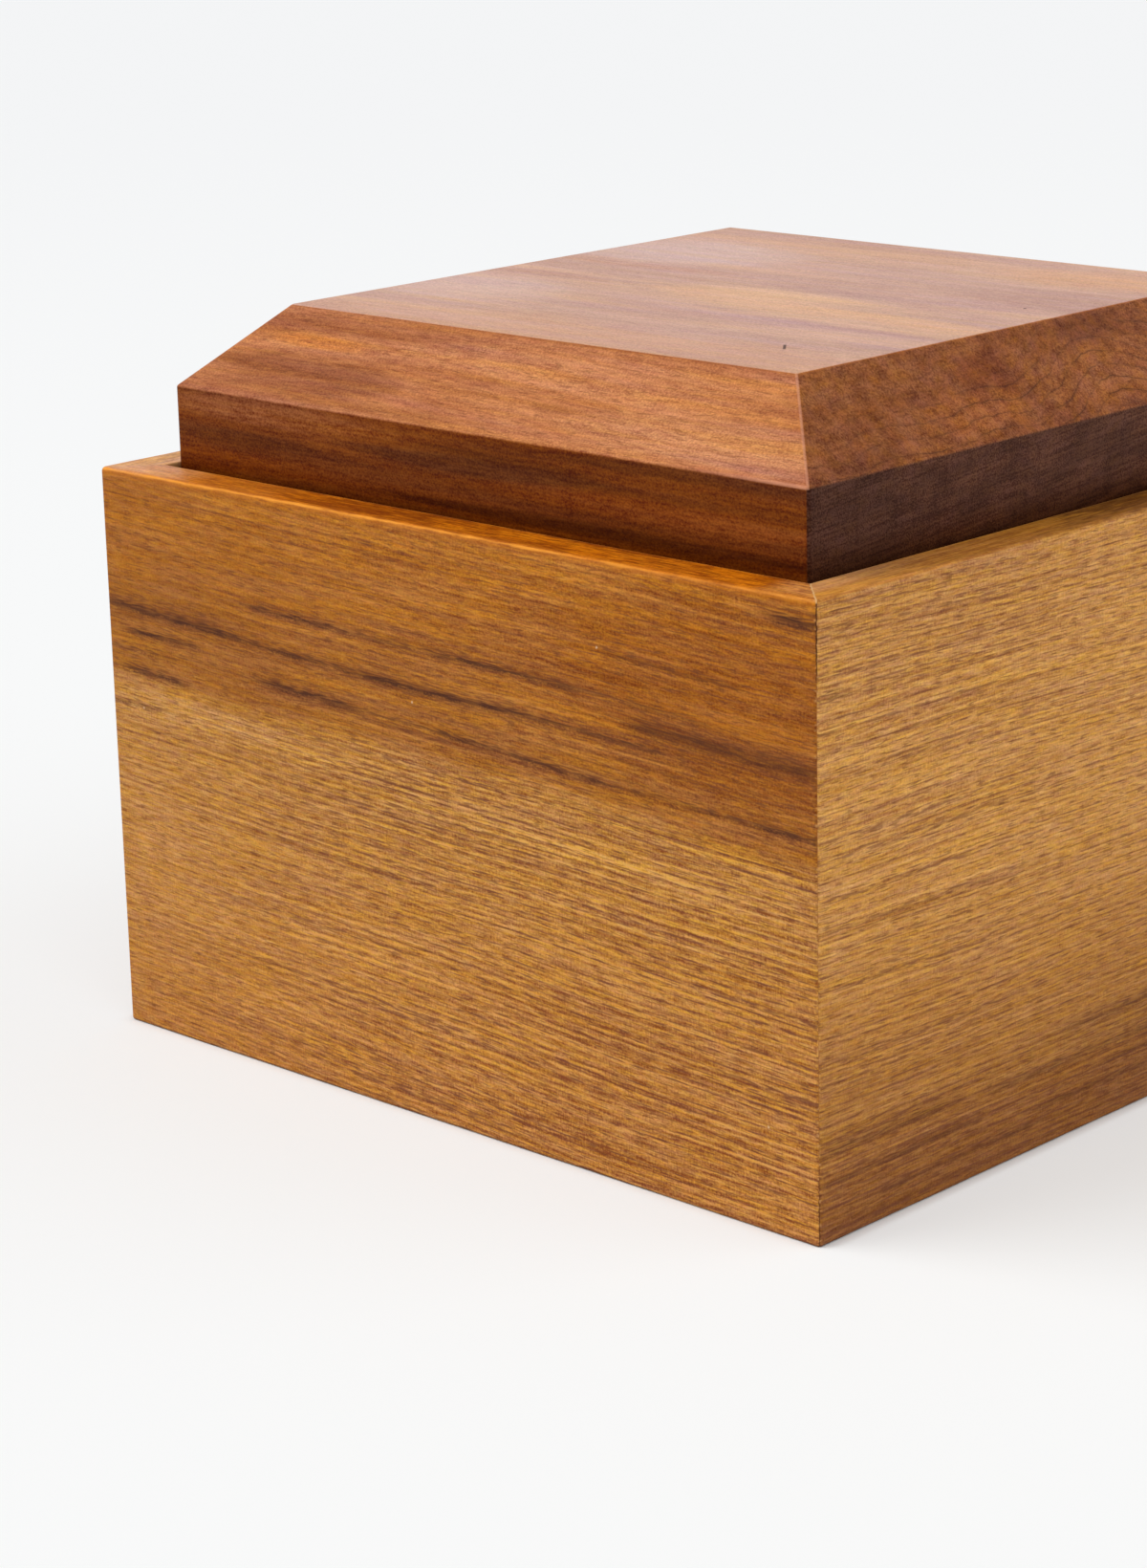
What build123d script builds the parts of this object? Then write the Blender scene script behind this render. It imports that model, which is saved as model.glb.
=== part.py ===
from build123d import *

import os

# A square timber keepsake box: mitred walls round a base panel, and one thick solid lid that drops
# inside the rim.
# Millimetres, +Z up. The origin is on the table, under the middle of the box.
# X runs along the front and back walls, Y along the left and right walls. The front faces -Y.

# Walls
box_width = 160.0  # outside, along X
box_depth = 160.0  # outside, along Y
wall_height = 100.0  # table to rim
wall_thickness = 8.0
corner_ease = 0.8  # radius sanded on the upright outside corners
rim_outer_ease = 0.55  # radius on the rim's outer arris
rim_inner_ease = 0.3  # radius on the rim's inner arris
foot_ease = 0.5  # radius on the outer arris at the table

# Base panel, held in a groove round the inside of the walls
base_thickness = 6.0
base_recess = 5.0  # table to the panel's underside
groove_depth = 4.0
base_expansion_gap = 0.5  # room for the panel to swell, at each edge

# Splines, loose tongues hidden in the mitred corners
spline_thickness = 2.0
slot_depth = 4.0  # into each wall, square to the mitre
spline_glue_gap = 0.25  # at each edge and each end of a spline
spline_inset = 2.6  # inner face of the wall to the spline's middle, at the mitre
spline_above_base = 6.0  # top of the base panel to the slot's lower end
spline_below_rim = 14.0  # rim to the slot's upper end

# Lid, one solid board with its grain along X
lid_gap = 1.6  # between the lid's side and the wall, all round
lid_drop = 6.0  # how far the lid reaches below the rim
lid_side_above_rim = 13.6
lid_bevel_rise = 13.4
lid_bevel_run = 14.3
lid_ease = 0.6  # radius on every arris of the lid

# Lid rests, strips glued inside the walls for the lid to stand on
rest_width = 6.0
rest_height = 8.0
rest_ease = 0.6  # radius on the strips' arrises at the mouth

# A cut runs this far past what it cuts
overrun = 2.0

# Angles
quarter_turn = 90
mitre_angle = 45

# Places and sizes that follow from those above
opening_width = box_width - 2 * wall_thickness
opening_depth = box_depth - 2 * wall_thickness
base_top = base_recess + base_thickness
slot_bottom = base_top + spline_above_base
slot_top = wall_height - spline_below_rim
lid_width = opening_width - 2 * lid_gap
lid_depth = opening_depth - 2 * lid_gap
lid_bottom = wall_height - lid_drop
lid_shoulder = wall_height + lid_side_above_rim
lid_top = lid_shoulder + lid_bevel_rise
rest_bottom = lid_bottom - rest_height

# The sides in order, each a quarter turn on from the one before
sides = ["front", "right", "back", "left"]

# The corners, each with the signs of its X and Y
corners = {
    "front_right": (1, -1),
    "back_right": (1, 1),
    "back_left": (-1, 1),
    "front_left": (-1, -1),
}


def block(width, depth, bottom, top):
    """A plain block about the Z axis, between two heights."""
    upright = (Align.CENTER, Align.CENTER, Align.MIN)
    return Pos(0, 0, bottom) * Box(width, depth, top - bottom, align=upright)


def top_face(shape):
    return shape.faces().sort_by(Axis.Z)[-1]


def bottom_face(shape):
    return shape.faces().sort_by(Axis.Z)[0]


def mouth_edges(face):
    """The edges round the hole in a face."""
    return face.inner_wires()[0].edges()


def side_wedge(side):
    """The space of one side of the box: its ends run in at the mitre angle from the corners."""
    along_x = side in ("front", "back")
    length = box_width if along_x else box_depth
    across = box_depth if along_x else box_width
    reach = wall_thickness + rest_width + overrun
    outer_x = length / 2 + overrun
    outer_y = across / 2 + overrun
    inner_x = length / 2 - reach
    inner_y = across / 2 - reach
    outline = Polyline(
        (-outer_x, -outer_y),
        (outer_x, -outer_y),
        (inner_x, -inner_y),
        (-inner_x, -inner_y),
        close=True,
    )
    wedge = extrude(make_face(outline), wall_height + 2 * overrun)
    return Rot(0, 0, quarter_turn * sides.index(side)) * Pos(0, 0, -overrun) * wedge


def corner_tongue(corner, width, bottom, top):
    """An upright tongue across one corner, square to its mitre."""
    sign_x, sign_y = corners[corner]
    middle_x = sign_x * (opening_width / 2 + spline_inset)
    middle_y = sign_y * (opening_depth / 2 + spline_inset)
    turn = -sign_x * sign_y * mitre_angle
    return Pos(middle_x, middle_y, 0) * Rot(0, 0, turn) * block(width, spline_thickness, bottom, top)


def wall_frame():
    """The four walls as one ring, eased, grooved and slotted, before the mitres part them."""
    frame = extrude(RectangleRounded(box_width, box_depth, corner_ease), wall_height)
    frame = fillet(top_face(frame).edges(), rim_outer_ease)
    frame = fillet(bottom_face(frame).edges(), foot_ease)
    frame -= block(opening_width, opening_depth, -overrun, wall_height + overrun)
    frame = fillet(mouth_edges(top_face(frame)), rim_inner_ease)
    groove_width = opening_width + 2 * groove_depth
    groove_across = opening_depth + 2 * groove_depth
    frame -= block(groove_width, groove_across, base_recess, base_top)
    for corner in corners:
        frame -= corner_tongue(corner, 2 * slot_depth, slot_bottom, slot_top)
    return frame


def walls():
    """Four boards, each with a mitre at both ends."""
    frame = wall_frame()
    return {f"{side}_wall": frame & side_wedge(side) for side in sides}


def base_panel():
    """The floor of the box, loose in its groove so that it can swell across the grain."""
    reach = groove_depth - base_expansion_gap
    return block(opening_width + 2 * reach, opening_depth + 2 * reach, base_recess, base_top)


def splines():
    """One hidden tongue in each corner, with a little room for glue."""
    width = 2 * (slot_depth - spline_glue_gap)
    bottom = slot_bottom + spline_glue_gap
    top = slot_top - spline_glue_gap
    return {f"{corner}_spline": corner_tongue(corner, width, bottom, top) for corner in corners}


def lid_rests():
    """Four mitred strips round the inside, their tops level with the lid's underside."""
    ring = block(opening_width, opening_depth, rest_bottom, lid_bottom)
    mouth_width = opening_width - 2 * rest_width
    mouth_depth = opening_depth - 2 * rest_width
    ring -= block(mouth_width, mouth_depth, rest_bottom - overrun, lid_bottom + overrun)
    ring = fillet(mouth_edges(top_face(ring)) + mouth_edges(bottom_face(ring)), rest_ease)
    return {f"{side}_lid_rest": ring & side_wedge(side) for side in sides}


def lid_outline(width):
    """The lid seen end on: upright sides, then a bevel up to the flat top."""
    half = width / 2
    flat_half = half - lid_bevel_run
    outline = Polyline(
        (-half, lid_bottom),
        (half, lid_bottom),
        (half, lid_shoulder),
        (flat_half, lid_top),
        (-flat_half, lid_top),
        (-half, lid_shoulder),
        close=True,
    )
    return make_face(outline)


def lid_board():
    """One solid board, bevelled on all four sides, with every arris eased."""
    bevelled_across_x = extrude(Plane.XZ * lid_outline(lid_width), lid_depth / 2, both=True)
    bevelled_across_y = extrude(Plane.YZ * lid_outline(lid_depth), lid_width / 2, both=True)
    board = bevelled_across_x & bevelled_across_y
    return fillet(board.edges(), lid_ease)


def main():
    nodes = {
        **walls(),
        "base_panel": base_panel(),
        **splines(),
        **lid_rests(),
        "lid_board": lid_board(),
    }
    os.makedirs("parts", exist_ok=True)
    for name, shape in nodes.items():
        export_step(shape, f"parts/{name}.step")
    print(len(nodes), "pieces, overall height", lid_top, "lid thickness", lid_top - lid_bottom)


main()
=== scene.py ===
import math
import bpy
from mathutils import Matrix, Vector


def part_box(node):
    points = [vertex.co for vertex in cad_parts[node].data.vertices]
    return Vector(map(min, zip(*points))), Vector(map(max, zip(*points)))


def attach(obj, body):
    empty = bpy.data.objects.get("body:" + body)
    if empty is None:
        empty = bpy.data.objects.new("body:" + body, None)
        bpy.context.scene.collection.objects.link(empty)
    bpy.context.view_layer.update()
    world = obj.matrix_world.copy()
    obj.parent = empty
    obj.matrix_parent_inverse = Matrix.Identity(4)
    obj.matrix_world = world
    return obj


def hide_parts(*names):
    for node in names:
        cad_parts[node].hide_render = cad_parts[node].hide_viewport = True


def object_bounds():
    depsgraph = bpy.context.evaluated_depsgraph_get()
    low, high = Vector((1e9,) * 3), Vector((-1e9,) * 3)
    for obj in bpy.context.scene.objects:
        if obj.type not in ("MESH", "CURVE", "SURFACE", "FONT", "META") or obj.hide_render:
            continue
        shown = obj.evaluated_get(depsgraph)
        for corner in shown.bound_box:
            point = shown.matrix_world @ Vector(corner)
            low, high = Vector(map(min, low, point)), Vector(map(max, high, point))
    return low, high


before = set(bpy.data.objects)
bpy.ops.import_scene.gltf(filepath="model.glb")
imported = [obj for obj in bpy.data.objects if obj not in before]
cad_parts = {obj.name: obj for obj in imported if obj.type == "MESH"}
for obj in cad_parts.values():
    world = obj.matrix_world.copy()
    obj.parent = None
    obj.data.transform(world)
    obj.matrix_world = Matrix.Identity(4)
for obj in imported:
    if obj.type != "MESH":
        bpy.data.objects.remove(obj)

from types import SimpleNamespace

import bmesh
import bpy
from mathutils import Matrix, Vector, noise

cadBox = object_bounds()
mm = 0.001
upright = Vector((0.0, 0.0, 1.0))
sideTurns = {"front": 0, "right": 90, "back": 180, "left": 270}  # degrees round from the front
shy = 0.001  # mm that the dressed pieces keep inside the CAD box
boxHalf = cadBox[1].x / mm - shy  # middle of the box to the outside of a wall
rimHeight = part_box("front_wall")[1].z / mm
print("frame loaded, box", round(2 * boxHalf, 1), "mm wide, rim at", round(rimHeight, 1), "mm")


# Camera, standing where the photograph was taken from
view = {
    "place": (0.42874, -0.49198, 0.22874),
    "heading": 44.008,  # degrees left of +Y
    "tilt": -16.07,
    "roll": -1.336,
    "lens": 88.69,
    "sensor": 36.0,
}


def setCamera():
    heading = math.radians(view["heading"])
    tilt = math.radians(view["tilt"])
    roll = math.radians(view["roll"])
    level = Vector((-math.sin(heading), math.cos(heading), 0.0))
    forward = level * math.cos(tilt) + upright * math.sin(tilt)
    flatRight = forward.cross(upright).normalized()
    flatUp = flatRight.cross(forward)
    right = flatRight * math.cos(roll) + flatUp * math.sin(roll)
    up = right.cross(forward)
    data = bpy.data.cameras.new("camera")
    data.lens = view["lens"]
    data.sensor_width = view["sensor"]
    camera = bpy.data.objects.new("camera", data)
    turned = Matrix((right, up, -forward)).transposed().to_4x4()
    camera.matrix_world = Matrix.Translation(view["place"]) @ turned
    bpy.context.collection.objects.link(camera)
    bpy.context.scene.camera = camera
    return level


lookAlong = setCamera()
bpy.context.scene.view_settings.view_transform = "Standard"
print("camera set")


# Node bench: short calls for building a material's nodes
def paint(red, green, blue):
    def linear(value):
        share = value / 255.0
        return share / 12.92 if share <= 0.04045 else ((share + 0.055) / 1.055) ** 2.4

    return (linear(red), linear(green), linear(blue), 1.0)


class Bench:
    def __init__(self, name, timber):
        self.timber = timber
        self.material = bpy.data.materials.new(name)
        self.material.use_nodes = True
        self.tree = self.material.node_tree
        self.shader = self.tree.nodes["Principled BSDF"]

    def add(self, kind, **settings):
        node = self.tree.nodes.new(kind)
        for name, value in settings.items():
            setattr(node, name, value)
        return node

    def join(self, socket, value):
        if isinstance(value, bpy.types.NodeSocket):
            self.tree.links.new(value, socket)
        else:
            socket.default_value = value

    def joinAll(self, sockets, values):
        for socket, value in zip(sockets, values):
            self.join(socket, value)

    def reckon(self, operation, *values):
        node = self.add("ShaderNodeMath", operation=operation)
        self.joinAll(node.inputs, values)
        return node.outputs[0]

    def times(self, first, second):
        return self.reckon("MULTIPLY", first, second)

    def scaleAdd(self, value, factor, start):
        return self.reckon("MULTIPLY_ADD", value, factor, start)

    def minus(self, first, second):
        return self.reckon("SUBTRACT", first, second)

    def swing(self, layer):
        return self.minus(layer, 0.5)  # noise about its middle

    def larger(self, first, second):
        return self.reckon("MAXIMUM", first, second)

    def size(self, value):
        return self.reckon("ABSOLUTE", value)

    def fade(self, value, low, high, atLow=0.0, atHigh=1.0):
        node = self.add("ShaderNodeMapRange", interpolation_type="SMOOTHSTEP")
        self.joinAll(node.inputs, (value, low, high, atLow, atHigh))
        return node.outputs[0]

    def over(self, value, name, atLow=0.0, atHigh=1.0, start=0.0):
        # a fade over one of the timber's named ranges
        low, high = self.timber["ranges"][name]
        return self.fade(value, start + low, start + high, atLow, atHigh)

    def weigh(self, share, first, second):
        return self.scaleAdd(share, self.minus(second, first), first)

    def split(self, vector):
        node = self.add("ShaderNodeSeparateXYZ")
        self.join(node.inputs[0], vector)
        return node.outputs

    def combine(self, x, y, z):
        node = self.add("ShaderNodeCombineXYZ")
        self.joinAll(node.inputs, (x, y, z))
        return node.outputs[0]

    def places(self, shift=(0.0, 0.0, 0.0), turn=0.0):
        # a point of the piece in mm, turned and shifted, and its normal
        coordinates = self.add("ShaderNodeTexCoord")
        node = self.add("ShaderNodeMapping")
        sizes = (1 / mm, 1 / mm, 1 / mm)
        self.joinAll(node.inputs, (coordinates.outputs["Object"], shift, (0.0, 0.0, turn), sizes))
        return node.outputs[0], coordinates.outputs["Normal"]

    def speckle(self, point, length, detail):
        # noise stretched to the given lengths in mm along the point's three axes
        scaled = self.add("ShaderNodeVectorMath", operation="DIVIDE")
        self.join(scaled.inputs[0], point)
        scaled.inputs[1].default_value = length
        node = self.add("ShaderNodeTexNoise", noise_dimensions="3D")
        self.join(node.inputs["Vector"], scaled.outputs[0])
        node.inputs["Scale"].default_value = 1.0
        node.inputs["Detail"].default_value = detail
        node.inputs["Roughness"].default_value = 0.5
        return node.outputs[0]

    def blend(self, share, first, second, mode="MIX"):
        node = self.add("ShaderNodeMix", data_type="RGBA", blend_type=mode)
        self.join(node.inputs[0], share)
        for socket, colour in ((node.inputs[6], first), (node.inputs[7], second)):
            outOf255 = type(colour) is tuple and len(colour) == 3
            self.join(socket, paint(*colour) if outOf255 else colour)
        return node.outputs[2]

    def bands(self, value, stops):
        # colours at given places along a value
        low = stops[0][0]
        high = stops[-1][0]
        share = self.add("ShaderNodeMapRange")
        self.joinAll(share.inputs, (value, low, high, 0.0, 1.0))
        node = self.add("ShaderNodeValToRGB")
        node.color_ramp.interpolation = "LINEAR"
        marks = node.color_ramp.elements
        while len(marks) < len(stops):
            marks.new(0.5)
        for mark, (place, colour) in zip(marks, stops):
            mark.position = (place - low) / (high - low)
            mark.color = paint(*colour)
        self.join(node.inputs[0], share.outputs[0])
        return node.outputs[0]

    def finish(self, colour, roughness, height):
        self.join(self.shader.inputs["Base Color"], colour)
        self.join(self.shader.inputs["Roughness"], roughness)
        self.shader.inputs["Specular IOR Level"].default_value = self.timber["specular"]
        node = self.add("ShaderNodeBump")
        node.inputs["Strength"].default_value = self.timber["bump"]["strength"]
        node.inputs["Distance"].default_value = self.timber["bump"]["distance"] * mm
        self.join(node.inputs["Height"], height)
        self.join(self.shader.inputs["Normal"], node.outputs[0])
        return self.material


# Floor and light
stage = {
    "floorSize": 16.0,
    "floorDrop": 0.00004,  # below the walls' feet
    "floorRoughness": 0.9,
    # the floor's colour fades from near to far as painted light: paler near the camera, greyer away from it
    "floorNear": (249, 250, 250),
    "floorFar": (244, 245, 246),
    "fadeFrom": -0.1,  # metres along the view, from the box's middle
    "fadeTo": 1.6,
    "surround": (245, 245, 246),
    "shadeShown": 0.54,  # how much of its own shading the floor shows round the box
    "shadeFar": 0.25,  # and away from it
    "shadeReach": 0.2,
    "shadeClose": 0.0025,  # by the walls' feet, where all of it shows
    "roomLight": 0.38,
    "lampDistance": 2.0,
    "leftLamp": {"from": (-0.72, -0.69), "rise": 45, "power": 1.6, "spread": 46},
    "rightLamp": {"from": (0.80, 0.60), "rise": 22, "power": 0.75, "spread": 55},
    "frontLamp": {"from": (0.65, -0.69), "rise": 42, "power": 0.75, "spread": 60},
}


def seenRays(tree):
    # 1 for a ray from the camera, off a gloss or through something clear
    path = tree.nodes.new("ShaderNodeLightPath")
    seen = path.outputs["Is Camera Ray"]
    for kind in ("Is Glossy Ray", "Is Transmission Ray"):
        either = tree.nodes.new("ShaderNodeMath")
        either.operation = "MAXIMUM"
        tree.links.new(seen, either.inputs[0])
        tree.links.new(path.outputs[kind], either.inputs[1])
        seen = either.outputs[0]
    return seen


def layFloor():
    half = stage["floorSize"] / 2
    corners = [(-half, -half), (half, -half), (half, half), (-half, half)]
    mesh = bpy.data.meshes.new("floor")
    mesh.from_pydata([(x, y, -stage["floorDrop"]) for x, y in corners], [], [(0, 1, 2, 3)])
    floor = bpy.data.objects.new("floor", mesh)
    bpy.context.collection.objects.link(floor)
    bench = Bench("paperSweep", stage)
    point = bench.add("ShaderNodeTexCoord").outputs["Object"]
    away = bench.add("ShaderNodeVectorMath", operation="DOT_PRODUCT")
    bench.join(away.inputs[0], point)
    away.inputs[1].default_value = lookAlong
    far = bench.fade(away.outputs["Value"], stage["fadeFrom"], stage["fadeTo"])
    # painted light: the floor paler near the camera, greyer away from it
    colour = bench.blend(far, stage["floorNear"], stage["floorFar"])
    bench.join(bench.shader.inputs["Base Color"], colour)
    bench.shader.inputs["Roughness"].default_value = stage["floorRoughness"]
    bench.shader.inputs["Specular IOR Level"].default_value = 0.0

    # bright paper: the camera sees it part lit and part plain white, so the shadow stays soft and pale
    x, y, z = bench.split(point)
    out = bench.minus(bench.larger(bench.size(x), bench.size(y)), boxHalf * mm)
    shown = bench.fade(out, 0.0, stage["shadeReach"], stage["shadeShown"], stage["shadeFar"])
    shown = bench.weigh(bench.fade(out, 0.0, stage["shadeClose"]), 1.0, shown)
    plain = bench.times(seenRays(bench.tree), bench.minus(1.0, shown))
    glow = bench.add("ShaderNodeEmission")
    bench.join(glow.inputs["Color"], colour)
    mixed = bench.add("ShaderNodeMixShader")
    bench.joinAll(mixed.inputs, (plain, bench.shader.outputs[0], glow.outputs[0]))
    bench.join(bench.tree.nodes["Material Output"].inputs["Surface"], mixed.outputs[0])
    mesh.materials.append(bench.material)


def hangLamp(name, lamp):
    rise = math.radians(lamp["rise"])
    flat = Vector((lamp["from"][0], lamp["from"][1], 0.0)).normalized()
    toward = flat * math.cos(rise) + upright * math.sin(rise)
    data = bpy.data.lights.new(name, "SUN")
    data.energy = lamp["power"]
    data.angle = math.radians(lamp["spread"])
    obj = bpy.data.objects.new(name, data)
    obj.rotation_euler = toward.to_track_quat("Z", "Y").to_euler()
    obj.location = toward * stage["lampDistance"]
    bpy.context.collection.objects.link(obj)


def lightRoom():
    world = bpy.data.worlds.new("room")
    bpy.context.scene.world = world
    world.use_nodes = True
    tree = world.node_tree
    light = tree.nodes["Background"]
    light.inputs["Color"].default_value = (1.0, 1.0, 1.0, 1.0)
    light.inputs["Strength"].default_value = stage["roomLight"]
    seen = tree.nodes.new("ShaderNodeBackground")
    seen.inputs["Color"].default_value = paint(*stage["surround"])
    mixed = tree.nodes.new("ShaderNodeMixShader")
    tree.links.new(seenRays(tree), mixed.inputs[0])
    tree.links.new(light.outputs[0], mixed.inputs[1])
    tree.links.new(seen.outputs[0], mixed.inputs[2])
    tree.links.new(mixed.outputs[0], tree.nodes["World Output"].inputs["Surface"])


layFloor()
for lampName in ("leftLamp", "rightLamp", "frontLamp"):
    hangLamp(lampName, stage[lampName])
lightRoom()
print("floor and light set")


# Mitred sweeps: a section in mm, as (depth in from the outside, height, corner radius), run along one side
# stations in mm from a side's end, close together round the eased corner
nearMitre = [0.234, 0.3, 0.4, 0.52, 0.66, 0.82, 1.1, 1.7, 2.8, 4.4]
mitreAngle = 45
weldReach = 1e-7  # metres


def stationsAlong(half, pitch):
    run = half - nearMitre[-1]
    steps = max(2, round(run / pitch))
    distances = nearMitre + [nearMitre[-1] + run * (i + 1) / steps for i in range(steps)]
    shares = [(half - distance) / (half - nearMitre[0]) for distance in distances]
    return shares + [-share for share in reversed(shares[:-1])]


def cornerFall(distance, radius):
    if distance >= radius:
        return 0.0
    return radius - math.sqrt(max(radius * radius - (radius - distance) ** 2, 0.0))


def onSide(turn, half, share, depth, height, radius):
    onMitre = 1.0 - math.sqrt(0.5)
    along = share * (half - depth - onMitre * radius)
    inward = depth + cornerFall(half - depth - abs(along), radius)
    place = Matrix.Rotation(math.radians(turn), 3, "Z") @ Vector((-along, inward - half, height))
    return place * mm


def arc(centre, radius, start, end, steps):
    points = []
    for i in range(steps + 1):
        angle = math.radians(start + (end - start) * i / steps)
        points.append((centre[0] + radius * math.cos(angle), centre[1] + radius * math.sin(angle)))
    return points


def between(start, end, steps):
    return [
        (start[0] + (end[0] - start[0]) * i / steps, start[1] + (end[1] - start[1]) * i / steps)
        for i in range(1, steps)
    ]


handSanding = {
    "span": 70.0,  # mm of wander over half a side
    "perTurn": 0.37,  # shift of the wander from side to side
    "perSeed": 1.7,
    "mitreFade": 14.0,  # how fast it dies out at the mitres
}
sharpBreak = 38  # degrees, past which a break between faces stays crisp


def waver(turn, share, seed, pitch):
    # smooth -1 to 1 along a side, dying out at the mitres so that neighbours meet
    along = share * handSanding["span"] / pitch
    across = turn * handSanding["perTurn"] + seed
    value = noise.noise(Vector((along, across, seed * handSanding["perSeed"])))
    return value * min(1.0, (1.0 - abs(share)) * handSanding["mitreFade"])


def finishMesh(name, bm, body, material, nodes):
    bmesh.ops.recalc_face_normals(bm, faces=bm.faces)
    mesh = bpy.data.meshes.new(name)
    bm.to_mesh(mesh)
    bm.free()
    mesh.shade_smooth()
    mesh.set_sharp_from_angle(angle=math.radians(sharpBreak))
    piece = bpy.data.objects.new(name, mesh)
    bpy.context.collection.objects.link(piece)
    flats = piece.modifiers.new("flatFaces", "WEIGHTED_NORMAL")
    flats.keep_sharp = True
    mesh.materials.append(material)
    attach(piece, body)
    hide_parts(*nodes)
    return piece


# Wall boards, mitred at both ends
wallCut = {
    "cornerEase": 0.8,
    "rimOuterEase": 0.8,
    "rimInnerEase": 0.3,
    "footEase": 0.5,
    "handWork": 0.35,  # share by which the easing wanders along an arris
    "wander": {"rimOuter": (3.1, 7.0), "rimInner": (5.3, 9.0), "foot": (8.9, 8.0)},  # seed and pitch
    "grooveDepth": 4.0,
    "pitch": 5.0,  # mm between stations along a wall
    "slotDepth": 4.0,
    "slotWidth": 2.0,
    "slotInset": 2.6,  # inner face to the slot's middle
    "slotEnds": (17.0, 86.0),
}
wallLow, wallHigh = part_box("front_wall")
wallThick = (wallHigh.y - wallLow.y) / mm
grooveLow, grooveHigh = [corner.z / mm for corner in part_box("base_panel")]


def wallSection(turn, share):
    def eased(arris):
        wander = waver(turn, share, *wallCut["wander"][arris])
        return wallCut[arris + "Ease"] * (1.0 + wallCut["handWork"] * wander)

    outer = eased("rimOuter")
    inner = eased("rimInner")
    foot = eased("foot")
    top = rimHeight
    thick = wallThick
    back = thick - wallCut["grooveDepth"]
    outline = arc((foot, foot), foot, 270, 180, 4)
    outline += between((0.0, foot), (0.0, top - outer), 9)
    outline += arc((outer, top - outer), outer, 180, 90, 5)
    outline += between((outer, top), (thick - inner, top), 4)
    outline += arc((thick - inner, top - inner), inner, 90, 0, 3)
    outline += between((thick, top - inner), (thick, grooveHigh), 8)
    outline += [(thick, grooveHigh), (back, grooveHigh), (back, grooveLow), (thick, grooveLow)]
    outline += [(thick, 0.0)] + between((thick, 0.0), (foot, 0.0), 3)
    return [(depth, height, max(wallCut["cornerEase"] - depth, 0.0)) for depth, height in outline]


def slotBlock(signX, signY):
    # the spline's slot, square across the mitre of one corner
    reach = boxHalf - wallThick + wallCut["slotInset"]
    low, high = wallCut["slotEnds"]
    turn = Matrix.Rotation(math.radians(-mitreAngle * signX * signY), 4, "Z")
    place = Matrix.Translation(Vector((signX * reach, signY * reach, (low + high) / 2)) * mm) @ turn
    length = 2 * wallCut["slotDepth"]
    size = Matrix.Diagonal((length * mm, wallCut["slotWidth"] * mm, (high - low) * mm, 1.0))
    bm = bmesh.new()
    bmesh.ops.create_cube(bm, size=1.0, matrix=place @ size)
    mesh = bpy.data.meshes.new("slotCutter")
    bm.to_mesh(mesh)
    bm.free()
    cutter = bpy.data.objects.new("slotCutter", mesh)
    bpy.context.collection.objects.link(cutter)
    return cutter


def cutSlots(bm, turn):
    mesh = bpy.data.meshes.new("uncutBoard")
    bm.to_mesh(mesh)
    bm.free()
    board = bpy.data.objects.new("uncutBoard", mesh)
    bpy.context.collection.objects.link(board)
    cutters = []
    for end in (-1, 1):
        corner = Matrix.Rotation(math.radians(turn), 2) @ Vector((end, -1.0))
        cutters.append(slotBlock(round(corner.x), round(corner.y)))
        cut = board.modifiers.new("slot", "BOOLEAN")
        cut.operation = "DIFFERENCE"
        cut.solver = "EXACT"
        cut.object = cutters[-1]
    bpy.context.view_layer.update()
    evaluated = board.evaluated_get(bpy.context.evaluated_depsgraph_get())
    cutMesh = bpy.data.meshes.new_from_object(evaluated)
    cutBoard = bmesh.new()
    cutBoard.from_mesh(cutMesh)
    for obj in cutters + [board]:
        used = obj.data
        bpy.data.objects.remove(obj)
        bpy.data.meshes.remove(used)
    bpy.data.meshes.remove(cutMesh)
    return cutBoard


def wallBoard(side, material):
    turn = sideTurns[side]
    bm = bmesh.new()
    columns = []
    for share in stationsAlong(boxHalf, wallCut["pitch"]):
        section = wallSection(turn, share)
        columns.append([bm.verts.new(onSide(turn, boxHalf, share, *point)) for point in section])
    count = len(columns[0])
    for first, second in zip(columns, columns[1:]):
        for j in range(count):
            k = (j + 1) % count
            bm.faces.new((first[j], first[k], second[k], second[j]))
    bm.faces.new(columns[0])
    bm.faces.new(list(reversed(columns[-1])))
    bmesh.ops.recalc_face_normals(bm, faces=bm.faces)
    bm = cutSlots(bm, turn)
    return finishMesh(f"{side}_wall_board", bm, "box", material, [f"{side}_wall"])


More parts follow.
